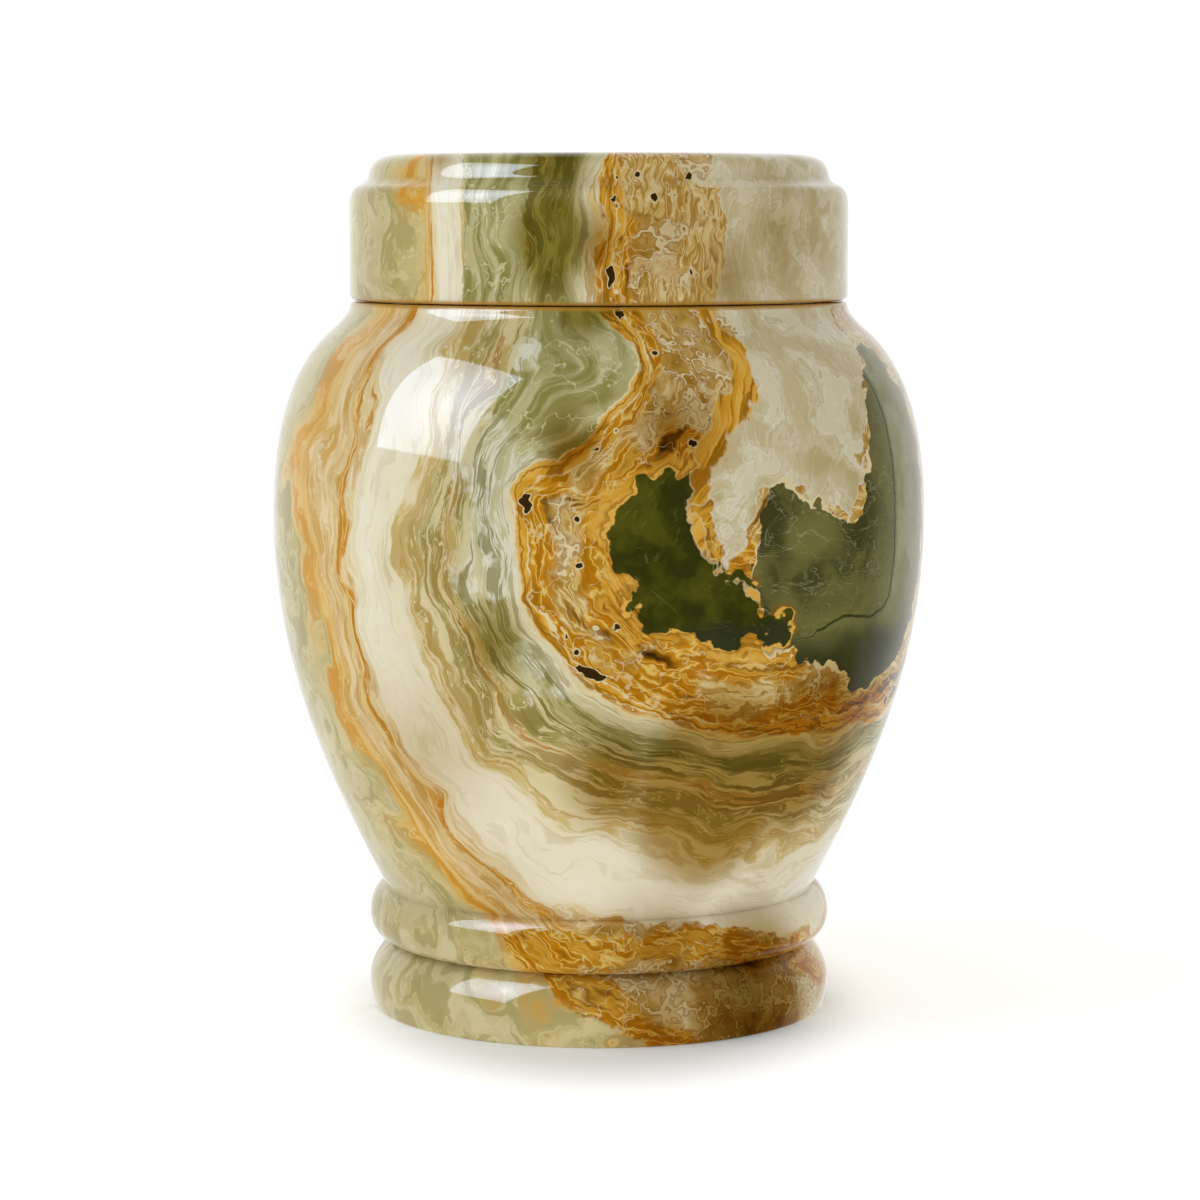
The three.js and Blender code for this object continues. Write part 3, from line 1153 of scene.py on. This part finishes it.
@dataclass(frozen=True)
class TurnedStone:
    """What the vessel and the lid share: the neck that they meet on, and how the hollow is cut."""

    neck_radius: float = 84.1
    rim_height: float = 240.5
    seat_gap: float = 0.3
    rim_width: float = 18.0
    seam_round: float = 2.0

    def dressed(
        self, name: str, node: str, profile: Profile, figure: Figure, finish: bpy.types.Material
    ) -> bpy.types.Object:
        """Turns a piece, reads the figure onto it and puts it in place of its CAD node.

        Args:
            name: The name of the piece.
            node: The CAD node that it stands for.
            profile: The closed profile to turn.
            figure: The figure of its stone.
            finish: The material.

        Returns:
            The piece.
        """
        piece = turned(name, profile)
        points = np.zeros(len(piece.data.vertices) * 3, np.float32)
        piece.data.vertices.foreach_get("co", points)
        for reading, values in self.read(points.reshape(-1, 3) / MM, figure).items():
            layer = piece.data.attributes.new(reading.value, "FLOAT_VECTOR", "POINT")
            layer.data.foreach_set("vector", values.astype(np.float32).ravel())
        piece.data.materials.append(finish)
        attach(piece, BODY)
        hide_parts(node)
        return piece

    def read(self, points: np.ndarray, figure: Figure) -> dict[Reading, np.ndarray]:
        """Reads the figure onto points of the surface.

        Args:
            points: Points in millimetres, one a row.
            figure: The figure of the stone.

        Returns:
            The readings.
        """
        return figure.readings(self.unrolled(points))

    def unrolled(self, points: np.ndarray) -> np.ndarray:
        """Unrolls points of the surface.

        Args:
            points: Points in millimetres, one a row.

        Returns:
            Their places on the unrolled side.
        """
        across = WIDEST_RADIUS * np.arctan2(points[:, 0], -points[:, 1])
        return np.stack([across, points[:, 2]], 1)


@dataclass(frozen=True)
class UrnBody(TurnedStone):
    """The vessel: a foot, a bead, the swelling belly, the shoulder, a short neck and the hollow."""

    foot_height: float = 23.2
    foot_radius: float = 78.6
    foot_undercut: float = 1.4
    foot_widest_height: float = 10.0
    foot_slope: float = 0.3
    foot_pull: Place = (0.35, 0.35)
    foot_roll_pull: Place = (0.3, 0.2)
    underside_round: float = 0.8
    bead_height: float = 19.2
    bead_stand: float = 5.1
    bead_widest_rise: float = 8.7
    groove_depth: float = 7.9
    groove_slope: float = -1.8
    waist_radius: float = 73.5
    waist_fillet: float = 1.0
    belly_rise: float = 125.6
    belly_radius: float = WIDEST_RADIUS
    belly_slope: float = 0.52
    belly_pull: Place = (0.315, 0.385)
    shoulder_rise: float = 63.2
    shoulder_slope: float = -1.21
    shoulder_pull: Place = (0.42, 0.206)
    cove_width: float = 5.7
    cove_pull: Place = (0.18, 0.23)
    wall: float = 14.0
    floor: float = 26.0
    floor_radius: float = 34.0
    bowl_pull: Place = (0.5, 0.4)
    mouth_depth: float = 8.0
    mouth_round: float = 1.5
    plain_radius: float = 15.0
    plain_blend: float = 50.0
    plain_layer: float = 4.4
    plain_layer_width: float = 50.0

    def outside(self) -> Profile:
        """Draws the outside, from the axis under the foot up to the rim.

        Returns:
            The points of the outside.
        """
        groove = (self.waist_radius + self.bead_stand - self.groove_depth, self.foot_height)
        waist = (self.waist_radius, groove[1] + self.bead_height)
        underside = self.foot_radius - self.foot_undercut
        side_foot = (underside, self.underside_round)
        foot_widest = (self.foot_radius, self.foot_widest_height)
        bead_widest = (self.waist_radius + self.bead_stand, groove[1] + self.bead_widest_rise)
        bead_end = along(waist, -self.waist_fillet, 0)
        belly, shoulder = self.swell()
        cove_end = (self.neck_radius, self.rim_height - self.seam_round)
        rim_flat = (self.neck_radius - self.seam_round, self.rim_height)
        disc_edge = (underside - self.underside_round, 0)
        foot_side = flowing(side_foot, self.foot_slope, foot_widest, 0, self.foot_pull)
        foot_roll = flowing(foot_widest, 0, groove, self.groove_slope, self.foot_roll_pull)
        cove = flowing(shoulder.end, self.shoulder_slope, cove_end, 0, self.cove_pull)
        return joined(
            straight((0, 0), disc_edge, Steps.ROUND),
            quarter_round(disc_edge, (underside, 0), side_foot, Steps.EDGE),
            foot_side.points(Steps.SMALL),
            foot_roll.points(Steps.MEDIUM),
            quarter_round(groove, (bead_widest[0], groove[1]), bead_widest, Steps.ROUND),
            quarter_round(bead_widest, (bead_widest[0], bead_end[1]), bead_end, Steps.ROUND),
            belly.points(Steps.BELLY),
            shoulder.points(Steps.SHOULDER),
            cove.points(Steps.SMALL),
            quarter_round(cove_end, (self.neck_radius, self.rim_height), rim_flat, Steps.SEAM_EDGE),
        )

    def swell(self) -> tuple[Bezier, Bezier]:
        """Draws the belly and the shoulder.

        Returns:
            The curve from the waist to the widest line, and the one from there to the neck.
        """
        waist = (self.waist_radius, self.foot_height + self.bead_height)
        widest = (self.belly_radius, waist[1] + self.belly_rise)
        neck_foot = (self.neck_radius + self.cove_width, widest[1] + self.shoulder_rise)
        belly = flowing(waist, self.belly_slope, widest, 0, self.belly_pull)
        shoulder = flowing(widest, 0, neck_foot, self.shoulder_slope, self.shoulder_pull)
        return belly, shoulder

    def hollow(self) -> Profile:
        """Draws the hollow, from the rim's inner edge down to the floor's centre.

        Returns:
            The points of the hollow.
        """
        mouth = self.neck_radius - self.rim_width
        belly, shoulder = self.swell()
        belly_wall = belly.moved_in(self.wall, Steps.MEDIUM)[::-1]
        bowl_end = (self.floor_radius, self.floor)
        bowl = levelling(belly_wall[-1], self.belly_slope, bowl_end, self.bowl_pull)
        return joined(
            quarter_round(
                (mouth + self.mouth_round, self.rim_height),
                (mouth, self.rim_height),
                (mouth, self.rim_height - self.mouth_round),
                Steps.EDGE,
            ),
            [(mouth, self.rim_height - self.mouth_depth)],
            shoulder.moved_in(self.wall, Steps.SMALL)[::-1],
            belly_wall,
            bowl.points(Steps.BOWL),
            [(0, self.floor)],
        )

    def read(self, points: np.ndarray, figure: Figure) -> dict[Reading, np.ndarray]:
        """Reads the figure, with plain layers near the axis, where the unrolled side closes to a point.

        Args:
            points: Points in millimetres, one a row.
            figure: The figure of the stone.

        Returns:
            The readings.
        """
        off_axis = np.hypot(points[:, 0], points[:, 1]) - self.plain_radius
        share = np.clip(off_axis / self.plain_blend, 0, 1)[:, None]
        share = share * share * (3 - 2 * share)
        away = np.full(len(points), figure.far)
        layer = self.plain_layer + points[:, 0] / self.plain_layer_width
        middle = {
            Reading.LAYERS: np.stack([layer, away, away], 1),
            Reading.PATCHES: np.stack([away, away, away], 1),
            Reading.ACCENTS: np.stack([away, away, away], 1),
            Reading.TINTS: np.zeros((len(points), 3)) - (0, 0, 1),
        }
        outer = figure.readings(self.unrolled(points))
        return {reading: values * share + middle[reading] * (1 - share) for reading, values in outer.items()}

    def build(self, finish: bpy.types.Material) -> bpy.types.Object:
        """Builds the vessel.

        Args:
            finish: The stone's material.

        Returns:
            The vessel.
        """
        profile = joined(self.outside(), self.hollow())
        return self.dressed("onyx_vessel", "urn_body", profile, VESSEL_FIGURE, finish)


@dataclass(frozen=True)
class UrnLid(TurnedStone):
    """The lid: an upright band, a sloping ledge, a low step, and the spigot that drops into the mouth."""

    band_height: float = 38.1
    band_roll_width: float = 2.8
    band_roll_height: float = 6.7
    band_roll_pull: Place = (0.62, 0.1)
    ledge_inset: float = 6.5
    ledge_rise: float = 3.4
    ledge_slope: float = -2.1
    ledge_pull: Place = (0.27, 0.5)
    top_inset: float = 17.0
    step_height: float = 7.1
    step_slope: float = -0.22
    step_pull: Place = (0.43, 0.85)
    spigot_clearance: float = 1.0
    spigot_depth: float = 12.0
    spigot_wall: float = 10.0
    spigot_round: float = 1.5
    crown: float = 15.0
    recess_round: float = 8.0

    def underside(self, top: float) -> Profile:
        """Draws the recess and the spigot, from the recess's centre out to the seat.

        Args:
            top: The height of the lid's flat top.

        Returns:
            The points of the underside.
        """
        spigot = self.neck_radius - self.rim_width - self.spigot_clearance
        recess = spigot - self.spigot_wall
        ceiling = top - self.crown
        seat = self.rim_height + self.seat_gap
        foot = seat - self.spigot_depth
        return joined(
            [(0, ceiling)],
            quarter_round(
                (recess - self.recess_round, ceiling),
                (recess, ceiling),
                (recess, ceiling - self.recess_round),
                Steps.SEAM_EDGE,
            ),
            [(recess, foot)],
            quarter_round(
                (spigot - self.spigot_round, foot),
                (spigot, foot),
                (spigot, foot + self.spigot_round),
                Steps.SPIGOT_EDGE,
            ),
            [(spigot, seat)],
        )

    def outside(self) -> Profile:
        """Draws the outside, from the seat up to the centre of the flat top.

        Returns:
            The points of the outside.
        """
        seat = self.rim_height + self.seat_gap
        neck = self.neck_radius
        ledge_start = (neck - self.band_roll_width, seat + self.band_height)
        ledge_end = (neck - self.ledge_inset, ledge_start[1] + self.ledge_rise)
        top_edge = (neck - self.top_inset, ledge_end[1] + self.step_height)
        seam_flat = (neck - self.seam_round, seat)
        band_foot = (neck, seat + self.seam_round)
        roll_start = (neck, ledge_start[1] - self.band_roll_height)
        roll = flowing(roll_start, 0, ledge_start, self.ledge_slope, self.band_roll_pull)
        ledge = flowing(ledge_start, self.ledge_slope, ledge_end, self.step_slope, self.ledge_pull)
        step = levelling(ledge_end, self.step_slope, top_edge, self.step_pull)
        return joined(
            quarter_round(seam_flat, (neck, seat), band_foot, Steps.SEAM_EDGE),
            straight(band_foot, roll_start, Steps.MEDIUM),
            roll.points(Steps.MEDIUM),
            ledge.points(Steps.MEDIUM),
            step.points(Steps.LID_STEP),
            straight(top_edge, (0, top_edge[1]), Steps.LID_TOP),
        )

    def unrolled(self, points: np.ndarray) -> np.ndarray:
        """Unrolls points of the lid, whose layers are upright sheets that run from front to back.

        Args:
            points: Points in millimetres, one a row.

        Returns:
            Their places on the unrolled side.
        """
        share = np.clip(points[:, 0] / self.neck_radius, -1, 1)
        return np.stack([WIDEST_RADIUS * np.arcsin(share), points[:, 2]], 1)

    def build(self, finish: bpy.types.Material) -> bpy.types.Object:
        """Builds the lid.

        Args:
            finish: The stone's material.

        Returns:
            The lid.
        """
        outside = self.outside()
        profile = joined(self.underside(outside[-1][1]), outside)
        return self.dressed("onyx_lid", "urn_lid", profile, LID_FIGURE, finish)


@dataclass(frozen=True)
class PaintedBoard:
    """Board rolled with matt white paint, which gives soft shadows and no reflections.

    It glows to the camera away from the urn, so that it runs into the white behind it. Near the urn it
    doesn't glow, which paints a tight shadow round the foot, stretched towards the front and back. It also
    glows for light that bounces off it: painted bounce light on the urn's lower parts. Lengths in metres.
    """

    name: str = "painted_board"
    colour: str = "#f6f6f4"
    glow_colour: str = "#ffffff"
    roughness: float = 0.8
    glow: float = 0.42
    glow_reach: tuple[float, float] = (0.055, 0.1)
    glow_stretch: tuple[float, float, float] = (1.0, 0.62, 0.0)
    bounce: float = 0.36

    def build(self) -> bpy.types.Material:
        """Builds the material.

        Returns:
            The material.
        """
        material = bpy.data.materials.new(self.name)
        material.use_nodes = True
        tree = material.node_tree
        tree.nodes.clear()
        path = add_node(tree, "LightPath").outputs
        # Painted shadow: no glow within glow_reach of the axis, measured with depth shortened, so the floor
        # is darker round the foot.
        place = (add_node(tree, "NewGeometry"), self.glow_stretch)
        place = add_node(tree, "VectorMath", place, operation="MULTIPLY")
        off = add_node(tree, "VectorMath", (place,), operation="LENGTH").outputs["Value"]
        ends = (off, *self.glow_reach, 0.0, self.glow)
        risen = add_node(tree, "MapRange", ends, interpolation_type="SMOOTHSTEP")
        # Painted bounce light: the floor glows for diffuse rays, which lights the urn from below.
        bounced = add_node(tree, "Math", (path["Is Diffuse Ray"], self.bounce), operation="MULTIPLY")
        glow = add_node(tree, "Math", (path["Is Camera Ray"], risen, bounced), operation="MULTIPLY_ADD")
        finish = {
            "Base Color": linear(self.colour),
            "Roughness": self.roughness,
            "Specular IOR Level": 0.0,
            "Emission Color": linear(self.glow_colour),
            "Emission Strength": glow,
        }
        add_node(tree, "OutputMaterial", (add_node(tree, "BsdfPrincipled", finish),))
        return material


@dataclass(frozen=True)
class Studio:
    """The camera, a large soft window of light, a white surround and a pale floor. Metres."""

    camera_place: tuple[float, float, float] = (0.0004, -1.277, 0.273)
    camera_fall: float = 6.016
    lens: float = 112.8
    sensor: float = 36.0
    clip: tuple[float, float] = (0.05, 50.0)
    softbox_place: tuple[float, float, float] = (-0.653, -0.327, 0.66)
    softbox_aim: tuple[float, float, float] = (0.0, -0.038, 0.141)
    softbox_size: tuple[float, float] = (0.575, 0.682)
    softbox_colour: tuple[float, float, float] = (0.88, 0.94, 1.0)
    mirrored_colour: tuple[float, float, float] = (0.67, 0.78, 1.0)
    softbox_middle: tuple[float, float, float] = (0.66, 0.5, 0.0)
    softbox_power: float = 2.6
    mirrored_power: float = 9.0
    softbox_fade: tuple[float, float] = (1.9, 0.85)
    softbox_fade_reach: float = 0.5
    surround: float = 0.69
    room_in_front: float = 0.02
    room_depth: tuple[float, float] = (0.3, 0.95)
    floor_reach: float = 6.0
    floor_squares: int = 8

    def build(self) -> None:
        """Sets up everything that isn't the urn."""
        self.place_camera()
        self.light_world()
        self.hang_softbox()
        self.lay_floor()
        view = bpy.context.scene.view_settings
        view.view_transform = "Standard"
        view.look = "None"

    def place_camera(self) -> None:
        """Places the camera at the photographed viewpoint."""
        data = bpy.data.cameras.new("camera")
        data.lens = self.lens
        data.sensor_width = self.sensor
        data.clip_start, data.clip_end = self.clip
        camera = bpy.data.objects.new("camera", data)
        camera.location = self.camera_place
        camera.rotation_euler = (math.radians(90 - self.camera_fall), 0, 0)
        bpy.context.scene.collection.objects.link(camera)
        bpy.context.scene.camera = camera

    def light_world(self) -> None:
        """Surrounds the urn with white, dimmer in front of it where its polish would mirror the room."""
        world = bpy.data.worlds.new("studio")
        world.use_nodes = True
        bpy.context.scene.world = world
        tree = world.node_tree
        tree.nodes.clear()
        path = add_node(tree, "LightPath")
        depth = add_node(tree, "SeparateXYZ", (add_node(tree, "TexCoord").outputs["Generated"],)).outputs[1]
        mirrored = add_node(tree, "MapRange", (depth, *self.room_depth, self.room_in_front, 1.0))
        lit = add_node(tree, "Mix", {0: path.outputs["Is Glossy Ray"], 2: self.surround, 3: mirrored})
        seen = add_node(tree, "Mix", {0: path.outputs["Is Camera Ray"], 2: lit, 3: 1.0})
        sky = add_node(tree, "Background", {"Color": (1.0, 1.0, 1.0, 1.0), "Strength": seen})
        add_node(tree, "OutputWorld", (sky,))

    def hang_softbox(self) -> None:
        """Hangs the softbox high on the left, one light for its mirror image and one for what it lights.

        It is brightest at one place on it, and fades from there to its edges.
        """
        aim = Vector(self.softbox_aim) - Vector(self.softbox_place)
        for name, power, colour in (
            ("softbox_mirrored", self.mirrored_power, self.mirrored_colour),
            ("softbox", self.softbox_power, self.softbox_colour),
        ):
            data = bpy.data.lights.new(name, "AREA")
            data.shape = "RECTANGLE"
            data.size, data.size_y = self.softbox_size
            data.energy = power
            data.color = colour
            data.use_nodes = True
            across = add_node(data.node_tree, "NewGeometry").outputs["Parametric"]
            off = add_node(data.node_tree, "VectorMath", (across, self.softbox_middle), operation="DISTANCE")
            ends = (off.outputs["Value"], 0.0, self.softbox_fade_reach, *self.softbox_fade)
            fading = add_node(data.node_tree, "MapRange", ends)
            data.node_tree.links.new(fading.outputs[0], data.node_tree.nodes["Emission"].inputs["Strength"])
            light = bpy.data.objects.new(name, data)
            light.location = self.softbox_place
            light.rotation_euler = aim.to_track_quat("-Z", "Y").to_euler()
            light.visible_diffuse = name == "softbox"
            light.visible_glossy = name != "softbox"
            bpy.context.scene.collection.objects.link(light)

    def lay_floor(self) -> None:
        """Lays the pale floor that the urn stands on."""
        mesh = bpy.data.meshes.new("floor")
        form = bmesh.new()
        squares = self.floor_squares
        bmesh.ops.create_grid(form, x_segments=squares, y_segments=squares, size=self.floor_reach)
        form.to_mesh(mesh)
        form.free()
        floor = bpy.data.objects.new("floor", mesh)
        mesh.materials.append(PaintedBoard().build())
        bpy.context.scene.collection.objects.link(floor)
        floor.visible_glossy = False


def main() -> None:
    """Builds the urn in its studio and reports each piece."""
    logging.basicConfig(level=logging.INFO, format="%(name)s: %(message)s")
    Studio().build()
    onyx = PolishedOnyx().build()
    for part in (UrnBody(), UrnLid()):
        piece = part.build(onyx)
        log.info("%s: %d points", piece.name, len(piece.data.vertices))


if __name__ == "__main__":
    main()
